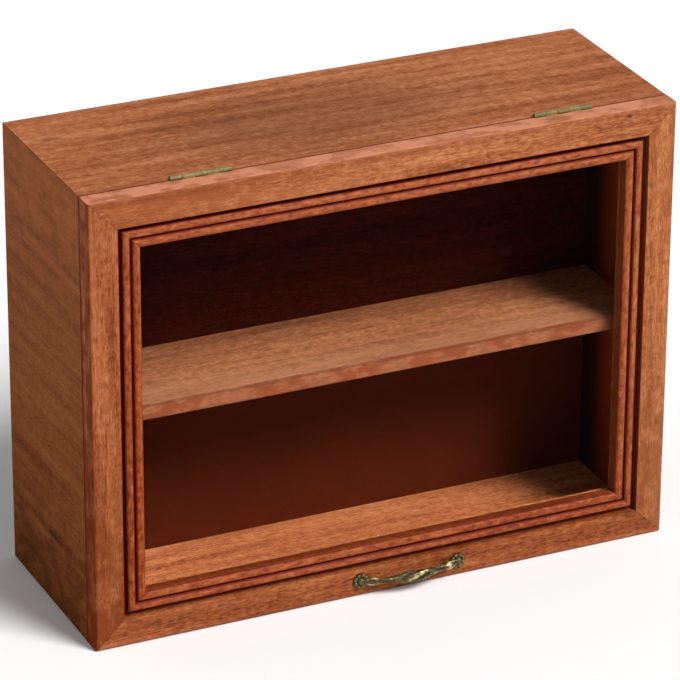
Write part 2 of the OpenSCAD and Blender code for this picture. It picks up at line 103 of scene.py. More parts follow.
class Graph:
    """One material and short calls that add nodes to it."""

    def __init__(self, name):
        self.material = bpy.data.materials.new(name)
        self.material.use_nodes = True
        self.tree = self.material.node_tree
        self.tree.nodes.clear()

    def put(self, socket, value):
        if isinstance(value, bpy.types.NodeSocket):
            self.tree.links.new(value, socket)
        else:
            socket.default_value = value

    def node(self, kind, **settings):
        made = self.tree.nodes.new(kind)
        for key, value in settings.items():
            setattr(made, key, value)
        return made

    def maths(self, operation, a, b=0.0, c=0.0, clamp=False):
        made = self.node("ShaderNodeMath", operation=operation, use_clamp=clamp)
        for socket, value in zip(made.inputs, (a, b, c)):
            self.put(socket, value)
        return made.outputs[0]

    def plus(self, a, b):
        return self.maths("ADD", a, b)

    def minus(self, a, b):
        return self.maths("SUBTRACT", a, b)

    def times(self, a, b):
        return self.maths("MULTIPLY", a, b)

    def lower(self, a, b):
        return self.maths("MINIMUM", a, b)

    def higher(self, a, b):
        return self.maths("MAXIMUM", a, b)

    def distance(self, a, b):
        return self.maths("ABSOLUTE", self.minus(a, b))

    def vary(self, base, layer, weight, clamp=False):
        """A value raised or lowered by a noise of 0 to 1, by up to half the weight."""
        return self.maths("MULTIPLY_ADD", self.minus(layer, 0.5), weight, base, clamp)

    def vector(self, operation, a, b=(0.0, 0.0, 0.0)):
        made = self.node("ShaderNodeVectorMath", operation=operation)
        self.put(made.inputs[0], a)
        self.put(made.inputs[1], b)
        return made.outputs["Value" if operation == "LENGTH" else "Vector"]

    def split(self, vector):
        made = self.node("ShaderNodeSeparateXYZ")
        self.put(made.inputs[0], vector)
        return made.outputs[0], made.outputs[1], made.outputs[2]

    def join(self, x, y, z):
        made = self.node("ShaderNodeCombineXYZ")
        for socket, value in zip(made.inputs, (x, y, z)):
            self.put(socket, value)
        return made.outputs[0]

    def noise(self, where, size, detail=2.0, rough=0.5, colour=False):
        """Noise whose lumps have the given size in millimetres, along each axis or along all three."""
        lump = size if isinstance(size, tuple) else (size, size, size)
        made = self.node("ShaderNodeTexNoise")
        self.put(made.inputs["Vector"], self.vector("MULTIPLY", where, tuple(1 / length for length in lump)))
        self.put(made.inputs["Scale"], 1.0)
        self.put(made.inputs["Detail"], detail)
        self.put(made.inputs["Roughness"], rough)
        return made.outputs["Color" if colour else "Fac"]

    def ease(self, value, low, high, start=0.0, end=1.0):
        """Goes smoothly from start to end as the value goes from low to high."""
        made = self.node("ShaderNodeMapRange", interpolation_type="SMOOTHSTEP", clamp=True)
        for socket, v in zip(made.inputs, (value, low, high, start, end)):
            self.put(socket, v)
        return made.outputs[0]

    def mix(self, share, a, b):
        made = self.node("ShaderNodeMix", data_type="RGBA")
        self.put(made.inputs[MIX_SHARE], share)
        self.put(made.inputs[MIX_FIRST], a)
        self.put(made.inputs[MIX_SECOND], b)
        return made.outputs[MIX_RESULT]

    def ramp(self, value, stops):
        made = self.node("ShaderNodeValToRGB")
        points = made.color_ramp.elements
        while len(points) < len(stops):
            points.new(0.5)
        for point, (at, colour) in zip(points, stops):
            point.position = at
            point.color = colour
        self.put(made.inputs[0], value)
        return made.outputs[0]

    def place(self):
        """Where a point is at rest, in millimetres."""
        coordinates = self.node("ShaderNodeTexCoord")
        return self.vector("MULTIPLY", coordinates.outputs["Object"], (1 / MM, 1 / MM, 1 / MM))

    def bump(self, height, distance, strength):
        made = self.node("ShaderNodeBump")
        self.put(made.inputs["Height"], height)
        self.put(made.inputs["Distance"], distance)
        self.put(made.inputs["Strength"], strength)
        return made.outputs["Normal"]

    def principled(self, colour, rough, normal=None, **fixed):
        """The surface shader. What is the same all over the surface is set on its own sockets."""
        shader = self.node("ShaderNodeBsdfPrincipled")
        self.put(shader.inputs["Base Color"], colour)
        self.put(shader.inputs["Roughness"], rough)
        if normal is not None:
            self.put(shader.inputs["Normal"], normal)
        for key, value in fixed.items():
            shader.inputs[key.replace("_", " ")].default_value = value
        return shader.outputs[0]

    def finish(self, surface):
        output = self.node("ShaderNodeOutputMaterial")
        self.tree.links.new(surface, output.inputs[0])
        return self.material


# Wood: sizes of the grain's parts in millimetres, along the grain and across it both ways
SWAY = (90.0, 30.0, 30.0)
FIGURE = (140.0, 8.0, 8.0)
STREAK = (10.0, 0.75, 0.75)
FLECK = (3.4, 1.1, 1.1)
MOTTLE = (4.0, 6.0, 6.0)
PORE = (6.0, 0.45, 0.45)
FUZZ = (5.0, 1.2, 1.2)
PATCH = (14.0, 9.0, 9.0)
BLOTCH = (4.5, 2.2, 2.2)
BARE_STREAK = (3.0, 22.0, 3.0)
WANDER = 4.0

# How far one step of a seed moves each material's noise, in millimetres
WOOD_STEP = (37.0, 91.0, 53.0)
BARE_STEP = (1.0, 3.0, 7.0)
METAL_STEP = (13.0, 29.0, 7.0)

# Wood: how much each part of the grain tells, in colour, in roughness and in relief
STREAK_TONE = 1.2
FLECK_TONE = 0.9
DARK_TONE = 0.18
MIDDLE_TONE = 0.5
PALE_TONE = 0.84
PORE_DARK = 0.30
SHADE_SHARE = 0.32
PORE_ROUGH = 0.18
STREAK_ROUGH = 0.25
PORE_RELIEF = 0.7
STREAK_RELIEF = 0.6
WOOD_RELIEF_M = 0.0001

# Wood: a zone colours a stretch along one axis, and a spot is one soft dark mark
Zone = namedtuple("Zone", "axis start end paint most")
Spot = namedtuple("Spot", "centre reach strength")
SPOT_RAGGED = 1.6
SPOT_CORE = 0.35

# Wood: a pair of distances in millimetres gives where a mark begins and where it is full
WORN_ARRIS = (1.6, 0.2)
MITRE_HALF = (0.45, 0.1)
SEAM_HALF = (1.05, 0.45)
SEAM_REACH = (1.3, 0.6)
GROOVE_HALF = (1.75, 0.7)
REED_DEPTH = (0.9, 2.4)
WALL_DEPTH = (0.2, 5.0)


def shifted(g, place, seed, step):
    """Moves a place by its piece's seed, so that no two pieces have the same noise."""
    return g.vector("ADD", place, tuple(seed * length for length in step))


def grain_of(g, place, along, seed):
    """A point's place along and across the grain, in millimetres, with the grain's slow wander."""
    x, y, z = g.split(place)
    turned = {"x": (x, y, z), "y": (y, z, x), "z": (z, x, y)}[along]
    grain = shifted(g, g.join(*turned), seed, WOOD_STEP)
    sway = g.vector("SUBTRACT", g.noise(grain, SWAY, colour=True), (0.5, 0.5, 0.5))
    return g.vector("ADD", grain, g.vector("MULTIPLY", sway, (0.0, WANDER, WANDER)))


def tone_and_light_zones(g, colour, place, grain, zones, even):
    """Colours the stretch that each zone names, in patches: some zones are the wood's own tones, some are
    painted light and shade. With even at 1 there are none.
    """
    axes = dict(zip("xyz", g.split(place)))
    patch = g.ease(g.noise(grain, PATCH), 0.4, 0.58, even, 1.0)
    for zone in zones:
        share = g.ease(axes[zone.axis], zone.start, zone.end, 0.0, zone.most)
        colour = g.mix(g.times(share, patch), colour, zone.paint)
    return colour


def spotted(g, colour, place, fuzz, spots, shade):
    """Adds the soft dark marks, with ragged edges."""
    for spot in spots:
        away = g.vector("DIVIDE", g.vector("SUBTRACT", place, spot.centre), spot.reach)
        far = g.vary(g.vector("LENGTH", away), fuzz, SPOT_RAGGED)
        mark = g.ease(far, 1.0, SPOT_CORE)
        colour = g.mix(g.times(mark, spot.strength), colour, shade)
    return colour


# Wood: the inner faces of the case's sides, reddened and given painted shade, and the stretch of y over which
# the painted shade deepens
INNER_RED = light(152, 56, 24)
INNER_RED_MOST = 0.85
# Painted shade on the inner faces, nearly black towards the back
INNER_DEEP_SHADE = light(26, 4, 2)
INNER_DEEP_SHADE_MOST = 0.97
DARKENS_FROM = -38.0
DARKENS_TO = 2.0


def shade_inner_face(g, colour, place):
    """Reddens the inner face of a side, and paints shade on it that turns it nearly black towards the back."""
    x, y, _ = g.split(place)
    inner = g.ease(g.maths("ABSOLUTE", x), INNER_X + 0.8, INNER_X + 0.1)
    colour = g.mix(g.times(inner, INNER_RED_MOST), colour, INNER_RED)
    dark = g.ease(y, DARKENS_FROM, DARKENS_TO, 0.0, INNER_DEEP_SHADE_MOST)
    return g.mix(g.times(inner, dark), colour, INNER_DEEP_SHADE)


def arris(g, place, low, high):
    """Distance in millimetres from the nearest arris of a box, on the box's faces."""
    middle = [(a + b) / 2 for a, b in zip(low, high)]
    half = [(b - a) / 2 for a, b in zip(low, high)]
    away = g.vector("ABSOLUTE", g.vector("SUBTRACT", place, middle))
    x, y, z = g.split(g.vector("SUBTRACT", half, away))
    return g.higher(g.lower(x, y), g.lower(g.higher(x, y), z))


# Wood: the mitres, and the seam between the case and the door
SEAM = light(86, 25, 10)
SEAM_MOST = 0.85
MITRE_MOST = 0.5


def inward(g, place, bottom, top):
    """How far a point lies in from the left or right side, and from the bottom or top, in millimetres."""
    x, _, z = g.split(place)
    across = g.minus(SIDE_X, g.maths("ABSOLUTE", x))
    up = g.minus((top - bottom) / 2, g.distance(z, (bottom + top) / 2))
    return across, up


def jointed(g, colour, place, across, up, shade):
    """Draws the thin dark line of a mitre, and darkens the outer edge along the seam."""
    _, y, _ = g.split(place)
    mitre = g.ease(g.distance(across, up), *MITRE_HALF)
    colour = g.mix(g.times(mitre, MITRE_MOST), colour, shade)
    seam = g.ease(g.distance(y, SEAM_Y), *SEAM_HALF, 0.0, SEAM_MOST)
    at_edge = g.ease(g.lower(across, up), *SEAM_REACH)
    return g.mix(g.times(seam, at_edge), colour, SEAM)


# Wood: the moulding of the door's members, with shade painted into its hollows
REED = light(154, 66, 30, 1.1)
REED_MOST = 0.5
REED_DARK = light(108, 34, 12)
REED_DARK_MOST = 0.65
REED_PALE = light(198, 110, 62)
REED_PALE_MOST = 0.4
# Painted shade in the quirk, in the groove between the reeds and on the walls
MOULDING_SHADE = light(104, 22, 5)
MOULDING_SHADE_MOST = 0.92
GROOVE_MOST = 0.9
WALL_LEAST = 0.55


def moulded(g, colour, place, grain, u, walls):
    """Mottles the reeds of a door member, and paints shade into its quirk, its groove and a share of its walls.
    """
    _, y, _ = g.split(place)
    depth = g.minus(y, FACE_Y)
    in_front = g.ease(depth, GLASS_DEPTH + 0.1, GLASS_DEPTH - 0.4)
    outer_wall = g.ease(u, FLAT_W + 0.5, FLAT_W + 0.1)
    inner_wall = g.ease(u, MEMBER_W - 0.15, MEMBER_W - 0.05)
    on_wall = g.higher(outer_wall, inner_wall)

    blotch = g.noise(grain, BLOTCH)
    reeds = g.mix(REED_MOST, colour, REED)
    reeds = g.mix(g.ease(blotch, 0.52, 0.68, 0.0, REED_DARK_MOST), reeds, REED_DARK)
    reeds = g.mix(g.ease(blotch, 0.48, 0.32, 0.0, REED_PALE_MOST), reeds, REED_PALE)
    on_moulding = g.times(g.ease(u, FLAT_W - 0.1, FLAT_W + 0.3), in_front)
    colour = g.mix(on_moulding, colour, g.mix(on_wall, reeds, colour))

    # Painted shade: in the groove, deep in the moulding, and on the walls by the member's share
    groove = g.ease(g.distance(u, GROOVE_U), *GROOVE_HALF, 0.0, GROOVE_MOST)
    on_reed = g.higher(groove, g.ease(depth, *REED_DEPTH))
    on_reed = g.times(on_reed, g.minus(1.0, on_wall))
    wall = g.times(g.ease(depth, *WALL_DEPTH, walls, max(walls, WALL_LEAST)), on_wall)
    inner_part = g.times(g.ease(u, FLAT_W - 0.3, FLAT_W - 0.05), in_front)
    painted_shade = g.times(g.plus(on_reed, wall), inner_part)
    return g.mix(g.times(painted_shade, MOULDING_SHADE_MOST), colour, MOULDING_SHADE)


def wood(name, along, seed, tones, box, joint=None, walls=None, inner_shade=False, zones=(), spots=(),
         streaks=1.0, figure=1.0, mottle=0.5, rubbed=0.35, even=0.4, matt=0.52, shine=0.12):
    """Oiled mahogany whose grain runs along one axis. A door member gives the share of painted shade on its
    walls.
    """
    dark, middle, pale = tones
    g = Graph(name)
    place = g.place()
    grain = grain_of(g, place, along, seed)
    streak = g.noise(grain, STREAK, detail=3.0, rough=0.6)
    pores = g.ease(g.noise(grain, PORE, detail=1.0), 0.58, 0.70)
    fuzz = g.noise(grain, FUZZ, detail=3.0, rough=0.6)

    tone = g.vary(MIDDLE_TONE, g.noise(grain, FIGURE), figure)
    tone = g.vary(tone, streak, STREAK_TONE * streaks)
    tone = g.vary(tone, g.noise(grain, FLECK), FLECK_TONE * streaks)
    tone = g.vary(tone, g.noise(grain, MOTTLE), mottle)
    colour = g.ramp(tone, [(DARK_TONE, dark), (MIDDLE_TONE, middle), (PALE_TONE, pale)])
    shade = tuple(c * SHADE_SHARE for c in dark[:3]) + (1.0,)
    colour = g.mix(g.times(pores, PORE_DARK), colour, shade)

    colour = tone_and_light_zones(g, colour, place, grain, zones, even)
    colour = spotted(g, colour, place, fuzz, spots, shade)
    # The sides' inner faces: reddened, with painted shade towards the back
    if inner_shade:
        colour = shade_inner_face(g, colour, place)
    if joint:
        across, up = inward(g, place, *joint)
    if walls is not None:
        colour = moulded(g, colour, place, grain, g.lower(across, up), walls)
    at_arris = g.ease(arris(g, place, *box), *WORN_ARRIS)
    worn = g.times(at_arris, g.ease(fuzz, 0.38, 0.62, 0.0, rubbed))
    colour = g.mix(worn, colour, pale)
    if joint:
        colour = jointed(g, colour, place, across, up, shade)

    rough = g.maths("MULTIPLY_ADD", pores, PORE_ROUGH, matt)
    rough = g.vary(rough, streak, STREAK_ROUGH, clamp=True)
    height = g.minus(g.times(streak, STREAK_RELIEF), g.times(pores, PORE_RELIEF))
    normal = g.bump(height, WOOD_RELIEF_M, 0.5)
    return g.finish(g.principled(colour, rough, normal, Specular_IOR_Level=shine))


def bare_wood(name, seed):
    """Pale hardwood of the hidden tongues and keys."""
    g = Graph(name)
    streak = g.noise(shifted(g, g.place(), seed, BARE_STEP), BARE_STREAK, detail=4.0, rough=0.6)
    colour = g.ramp(streak, [(0.25, light(150, 110, 70)), (0.75, light(205, 168, 120))])
    rough = g.maths("MULTIPLY_ADD", streak, 0.2, 0.5)
    return g.finish(g.principled(colour, rough, g.bump(streak, WOOD_RELIEF_M, 0.5)))


def palette(*tones, gain=1.1):
    """The dark, middle and pale grain of a piece."""
    return tuple(light(*tone, gain) for tone in tones)


# Wood: the grain of each piece
TOP = palette((138, 72, 35), (175, 102, 60), (201, 131, 88))
FACE = palette((130, 64, 30), (172, 98, 56), (202, 132, 88))
LOW = palette((108, 48, 20), (151, 78, 39), (180, 108, 64))
WARM = palette((124, 58, 31), (166, 93, 56), (192, 119, 78))
FAIR = palette((132, 70, 34), (174, 99, 55), (202, 132, 84))
SIDE = palette((112, 58, 26), (143, 79, 37), (162, 98, 54))
INSIDE = palette((126, 62, 34), (164, 92, 54), (188, 120, 80))
SHELF = palette((112, 60, 34), (145, 87, 55), (170, 112, 76))
STRIP = palette((110, 52, 28), (160, 88, 54), (186, 116, 78))
# The back panel's grain, painted nearly black as the shade inside the case
BACK = palette((34, 6, 2), (48, 10, 4), (62, 16, 7), gain=1.0)

# Wood: the colours of the zones
DEEP = light(60, 22, 8)
# Painted light on the upper part of the left side
LIT_SIDE_TOP = light(186, 106, 66, 1.1)
# A painted highlight, in pink patches, on the door's top edge
PINK_HIGHLIGHT = light(220, 144, 110, 1.1)
BROWN = light(120, 58, 26, 1.1)
RED = light(112, 40, 10)
RUST = light(116, 48, 20)
# A painted band of light on the shelf towards its front
SHELF_LIGHT_BAND = light(150, 102, 76, 1.1)
# Less painted shade on the back panel below the shelf
BACK_LESS_SHADED = light(79, 27, 10)

# The case and the door as boxes, and the heights between which each is mitred
case_box = ((-SIDE_X, CASE_FRONT, 0.0), (SIDE_X, CASE_BACK, CASE_H))
case_joint = (0.0, CASE_H)
door_box = ((-SIDE_X, FACE_Y, DOOR_BOTTOM), (SIDE_X, DOOR_BACK, CASE_H))
door_joint = (DOOR_BOTTOM, CASE_H)


def dress(name, material):
    """Gives every material slot of a CAD node the same material."""
    for slot in nodes[name].material_slots:
        slot.material = material


def dress_carcass():
    """The four boards, with a knot and a darker middle on the top, and a dark streak low on the left side,
    which has painted light on its upper part and a darker foot.
    """
    knot = Spot(centre=(-165.0, 23.5, CASE_H), reach=(9.0, 3.0, 2.0), strength=0.5)
    darker_middle = Spot(centre=(-20.0, -4.0, CASE_H), reach=(130.0, 62.0, 3.0), strength=0.4)
    streak = Spot(centre=(-SIDE_X, -9.4, 44.3), reach=(2.0, 13.0, 2.2), strength=0.8)
    darker_foot = Zone(axis="z", start=130.0, end=0.0, paint=DEEP, most=0.5)
    lit_top = Zone(axis="z", start=150.0, end=260.0, paint=LIT_SIDE_TOP, most=0.4)
    dress("top_board", wood(
        "wood_top", along="x", seed=1.0, tones=TOP, box=case_box, joint=case_joint,
        spots=[knot, darker_middle], figure=1.1, streaks=0.75,
    ))
    dress("bottom_board", wood(
        "wood_bottom", along="x", seed=2.0, tones=INSIDE, box=case_box, joint=case_joint,
    ))
    dress("left_side", wood(
        "wood_left", along="y", seed=3.0, tones=SIDE, box=case_box, joint=case_joint, inner_shade=True,
        zones=[darker_foot, lit_top], spots=[streak], mottle=0.3, streaks=0.7, shine=0.01,
    ))
    dress("right_side", wood(
        "wood_right", along="y", seed=4.0, tones=SIDE, box=case_box, joint=case_joint, inner_shade=True, shine=0.01,
    ))


def dress_shelf():
    """The shelf: a painted band of light towards the front, with a rusty front edge and a dark line under its
    front arris.
    """
    lit_band = Zone(axis="y", start=-28.0, end=-46.0, paint=SHELF_LIGHT_BAND, most=0.55)
    front_edge = Zone(axis="y", start=CASE_FRONT + 0.8, end=CASE_FRONT + 0.2, paint=RUST, most=0.85)
    dark_line = Spot(centre=(0.0, CASE_FRONT, SHELF_TOP - 1.1), reach=(500.0, 0.8, 1.5), strength=0.4)
    dress("shelf", wood(
        "wood_shelf", along="x", seed=5.0, tones=SHELF, box=(shelf_low, shelf_high),
        zones=[lit_band, front_edge], spots=[dark_line], rubbed=0.0,
    ))


def dress_rails():
    """The door's rails: the top one is browner to the left, with a painted pink highlight on its top arris and
    a knot on the right.
    """
    brown_left = Zone(axis="x", start=60.0, end=-120.0, paint=LOW[1], most=0.8)
    brown_upper = Zone(axis="z", start=CASE_H - 5.5, end=CASE_H - 3.0, paint=BROWN, most=0.45)
    pink_highlight = Zone(axis="z", start=CASE_H - 0.7, end=CASE_H - 0.1, paint=PINK_HIGHLIGHT, most=0.85)
    knot = Spot(centre=(149.5, FACE_Y, 270.6), reach=(2.6, 3.0, 1.9), strength=0.8)
    # walls gives the share of painted shade on the moulding's walls
    dress("door_top_rail", wood(
        "wood_top_rail", along="x", seed=6.0, tones=FACE, box=door_box, joint=door_joint, walls=0.5,
        zones=[brown_left, brown_upper, pink_highlight], spots=[knot], streaks=0.85, rubbed=0.0,
    ))
    dress("door_bottom_rail", wood(
        "wood_bottom_rail", along="x", seed=7.0, tones=LOW, box=door_box, joint=door_joint, walls=0.0,
        streaks=0.85, rubbed=0.1,
    ))


def dress_stiles():
    """The door's two stiles: both browner low down, the left one with a red arris and a broken dark line."""
    browner_left = Zone(axis="z", start=170.0, end=40.0, paint=BROWN, most=0.8)
    browner_right = Zone(axis="z", start=170.0, end=60.0, paint=BROWN, most=0.6)
    red_arris = Zone(axis="x", start=-SIDE_X + 1.1, end=-SIDE_X + 0.4, paint=RED, most=0.8)
    broken_line = [
        Spot(centre=(x, FACE_Y, z), reach=(0.7, 3.0, reach), strength=0.6)
        for x, z, reach in ((-171.8, 132.0, 11.0), (-172.6, 104.0, 12.0), (-173.0, 76.0, 10.0))
    ]
    # walls gives the share of painted shade on the moulding's walls
    dress("door_left_stile", wood(
        "wood_left_stile", along="z", seed=8.0, tones=WARM, box=door_box, joint=door_joint, walls=0.6,
        zones=[browner_left, red_arris], spots=broken_line, streaks=0.75, rubbed=0.0, shine=0.01,
    ))
    dress("door_right_stile", wood(
        "wood_right_stile", along="z", seed=9.0, tones=FAIR, box=door_box, joint=door_joint, walls=0.75,
        zones=[browner_right], streaks=0.8, rubbed=0.1,
    ))


def dress_strips():
    """The strips that hold the glass from behind."""
    for i, (name, along) in enumerate((("top", "x"), ("bottom", "x"), ("left", "z"), ("right", "z"))):
        strip = f"glass_bead_{name}"
        dress(strip, wood(
            f"wood_strip_{name}", along=along, seed=11.0 + i, tones=STRIP, box=box_mm(strip), matt=0.6,
        ))


def dress_back():
    """The back panel: painted nearly black as shade, with less painted shade below the shelf."""
    lighter = Zone(axis="z", start=SHELF_TOP - 1.0, end=SHELF_TOP - 9.0, paint=BACK_LESS_SHADED, most=0.8)
    dress("back_panel", wood(
        "wood_back", along="x", seed=16.0, tones=BACK, box=case_box,
        zones=[lighter], figure=0.6, mottle=0.3, even=0.85, matt=0.68, shine=0.02,
    ))


dress_carcass()
dress_shelf()
dress_rails()
dress_stiles()
dress_strips()
dress_back()
dress("corner_tongues", bare_wood("wood_tongues", seed=3.0))
dress("door_corner_keys", bare_wood("wood_keys", seed=8.0))


# Glass
PANE_TINT = (0.97, 0.985, 0.975, 1.0)
SHADOW_TINT = (0.96, 0.98, 0.97, 1.0)
WEAK_SHEEN_IOR = 1.04
SMEAR = 35.0
SMEAR_ROUGH = 0.03


def pane(name):
    """Clear glass with a weak sheen, which lets the lamps' light through."""
    g = Graph(name)
    smear = g.ease(g.noise(g.place(), SMEAR, detail=3.0), 0.3, 0.8, 0.0, SMEAR_ROUGH)
    glass = g.principled(PANE_TINT, smear, Transmission_Weight=1.0, IOR=WEAK_SHEEN_IOR)
    clear = g.node("ShaderNodeBsdfTransparent")
    clear.inputs[0].default_value = SHADOW_TINT
    ray = g.node("ShaderNodeLightPath")
    both = g.node("ShaderNodeMixShader")
    g.put(both.inputs[0], ray.outputs["Is Shadow Ray"])
    g.put(both.inputs[1], glass)
    g.put(both.inputs[2], clear.outputs[0])
    return g.finish(both.outputs[0])


dress("glass_pane", pane("clear_glass"))

# Hinges, pins and screws: sizes of the marks in millimetres, and how much each tells
DRAWN_LINE = (9.0, 0.5, 0.5)
CLOUD = 4.0
SPECK = 0.625
LINE_MOST = 0.5
SPECK_MOST = 0.6
DRAWN_RELIEF_M = 0.00004


def old_metal(name, seed, dull, clean, tarnish, rough=0.3, metal=1.0):
    """Metal that has gone dull, with drawn lines and specks of tarnish."""
    g = Graph(name)
    place = shifted(g, g.place(), seed, METAL_STEP)
    lines = g.noise(place, DRAWN_LINE, detail=3.0, rough=0.6)
    cloud = g.noise(place, CLOUD, detail=4.0, rough=0.6)
    speck = g.ease(g.noise(place, SPECK), 0.6, 0.72)
    colour = g.mix(g.ease(cloud, 0.34, 0.66), dull, clean)
    colour = g.mix(g.times(g.ease(lines, 0.45, 0.7), LINE_MOST), colour, tarnish)
    colour = g.mix(g.times(speck, SPECK_MOST), colour, tarnish)
    rough = g.maths("MULTIPLY_ADD", cloud, 0.25, rough, clamp=True)
    normal = g.bump(lines, DRAWN_RELIEF_M, 0.6)
    return g.finish(g.principled(colour, rough, normal, Metallic=metal))


def dress_hardware():
    """The hinges, dull and greenish, their pins and screws, and the steel of the brads and handle screws."""
    hinge_brass = old_metal(
        "hinge_brass_dull", seed=1.0,
        dull=light(122, 110, 64), clean=light(148, 138, 90), tarnish=light(80, 68, 38), rough=0.6, metal=0.3,
    )
    pin_brass = old_metal(
        "pin_brass", seed=2.0,
        dull=light(140, 128, 74), clean=light(176, 160, 100), tarnish=light(80, 70, 40),
    )
    screw_brass = old_metal(
        "screw_brass_worn", seed=3.0,
        dull=light(150, 128, 70), clean=light(190, 166, 104), tarnish=light(84, 66, 36),
    )
    steel = old_metal(
        "screw_steel", seed=4.0,
        dull=light(120, 120, 118), clean=light(168, 168, 166), tarnish=light(72, 66, 60),
    )
    for side in ("left", "right"):
        dress(f"hinge_{side}_case_leaf", hinge_brass)
        dress(f"hinge_{side}_door_leaf", hinge_brass)
        dress(f"hinge_{side}_pin", pin_brass)
    for name in ("hinge_case_screws", "hinge_door_screws"):
        dress(name, screw_brass)
    for name in ("glass_bead_pins", "handle_screws"):
        dress(name, steel)


dress_hardware()

# The bow pull: sizes in millimetres, in its own frame with x along it, y off the wood and z up
BOW_RISE = 8.0
BOW_FOOT = 1.8
NECK_R = 1.5
LEAF_H = 3.6
LEAF_T = 2.04
BEAD_R = 2.2
ROSETTE_R = 3.6
ROSETTE_T = 1.8
ROSETTE_H = 4.4
ROSETTE_EDGE = 0.45
PETAL_FOOT = 0.55
LOBE_R = 1.3
DOME_R = 2.5
RING_R = 2.55
RING_W = 0.22
RING_DEPTH = 0.35
BLADE_W = 0.85
BLADE_START = 2.4
BLADE_LENGTH = 9.6
BLADE_LIFT = 2.9
BLADE_ARCH = 1.9
BLADE_SPREAD = 2.6

# The bow pull: places along the bow as a share of half its span, turns, brightness, and counts
BOW_END = 0.92
LEAF_REACH = 0.4
BEAD_S = 0.76
BEAD_REACH = 0.05
STRANDS = 3
STRAND_TURN = np.radians(900)
LUMP_TURNS = 7.3
BOW_CREST = 0.38
BEAD_HIGHLIGHT = 0.7
LOBES = 8
PETAL_MIDDLE = 0.72
PETAL_HALF = 0.28
BOW_RINGS = 260
BOW_SIDES = 56
ROSETTE_SIDES = 128
ROSETTE_ROWS = 40
BLADE_RINGS = 40
BLADE_SIDES = 20


def tube(points, crest, closed_ends=True):
    """Vertices, faces and crest shade of a tube given as rings of points."""
    rings, sides = points.shape[:2]
    vertices = points.reshape(-1, 3)
    faces = []
    for i in range(rings - 1):
        for j in range(sides):
            k = (j + 1) % sides
            faces.append((i * sides + j, (i + 1) * sides + j, (i + 1) * sides + k, i * sides + k))
    if closed_ends:
        faces.append(tuple(range(sides)))
        last = (rings - 1) * sides
        faces.append(tuple(last + j for j in reversed(range(sides))))
    return vertices, faces, crest.reshape(-1)


def around(sides):
    """The angles round a ring."""
    return np.linspace(0, 2 * np.pi, sides, endpoint=False)[None, :]


def bow_height(s):
    """How far the middle of the bow stands off the wood."""
    return BOW_FOOT + (BOW_RISE - BOW_FOOT) * np.cos(np.pi / 2 * np.minimum(1.0, np.abs(s) / BOW_END))


def ridge(s, a, start, slope, width):
    """A rounded ridge that winds round the bow: 1 on its line, and 0 away from it."""
    away = (a - start - slope * s + np.pi) % (2 * np.pi) - np.pi
    return np.exp(-((away / width) ** 2))


def near(s, middle, reach):
    """1 round a place along the bow, falling to 0 beyond the given reach."""
    return np.exp(-((np.abs(s - middle) / reach) ** 4))


def bow():
    """The bow with its leaf in the middle, and a twisted neck and a bead on each side."""
    s = np.linspace(-1, 1, BOW_RINGS)[:, None]
    a = around(BOW_SIDES)
    leaf = np.exp(-((np.abs(s) / LEAF_REACH) ** 2.6))
    bead = np.exp(-(((np.abs(s) - BEAD_S) / BEAD_REACH) ** 2))
    taper = 1 - 0.3 * np.abs(s) ** 8

    twist = np.cos(STRANDS * a + STRAND_TURN * s) * (1 - leaf) * (1 - bead) * np.where(s > 0, 1.0, 0.4)
    lumps = 0.78 + 0.22 * np.cos(2 * np.pi * LUMP_TURNS * s + 1.4 * np.sin(a))
    main = ridge(s, a, start=0.12, slope=3.0, width=0.4) * near(s, middle=0.05, reach=0.28) * lumps
    lower = ridge(s, a, start=-0.9, slope=1.4, width=0.35) * near(s, middle=0.28, reach=0.18) * lumps
    stem = ridge(s, a, start=0.6, slope=0.0, width=0.32) * near(s, middle=-0.36, reach=0.22)
    hollow = ridge(s, a, start=1.15, slope=3.0, width=0.36) * near(s, middle=-0.02, reach=0.22)
    hollow += ridge(s, a, start=-0.5, slope=3.0, width=0.28) * near(s, middle=0.14, reach=0.16)

    # Each form, how far it swells the bow, and how much brighter it leaves the metal, as rubbed wear and
    # painted highlight
    forms = (
        (twist, 0.14, 0.3),
        (main, 0.13, 0.6),
        (lower, 0.13, 0.3),
        (stem, 0.1, 0.24),
        (hollow, -0.17, -0.34),
    )
    swell = 1 + sum(rise * form for form, rise, _ in forms)
    half_t = (NECK_R * taper + (LEAF_T - NECK_R) * leaf + (BEAD_R - NECK_R) * bead) * swell
    half_h = (NECK_R * taper + (LEAF_H - NECK_R) * leaf + (BEAD_R - NECK_R) * bead) * swell
    step = 0.01
    slope = (bow_height(s + step) - bow_height(s - step)) / (step * HANDLE_SPAN)
    tilt = np.arctan(slope)
    out = half_t * np.cos(a)
    points = np.stack([
        s * HANDLE_SPAN / 2 + out * -np.sin(tilt),
        bow_height(s) + out * np.cos(tilt),
        half_h * np.sin(a) + 0 * s,
    ], axis=-1)
    crest = BOW_CREST + sum(bright * form for form, _, bright in forms)
    # A painted highlight on the upper front of the bead on the right
    crest += BEAD_HIGHLIGHT * bead * np.clip(np.cos(a - 0.5), 0, 1) * (s > 0)
    return tube(points, crest + 0 * out)


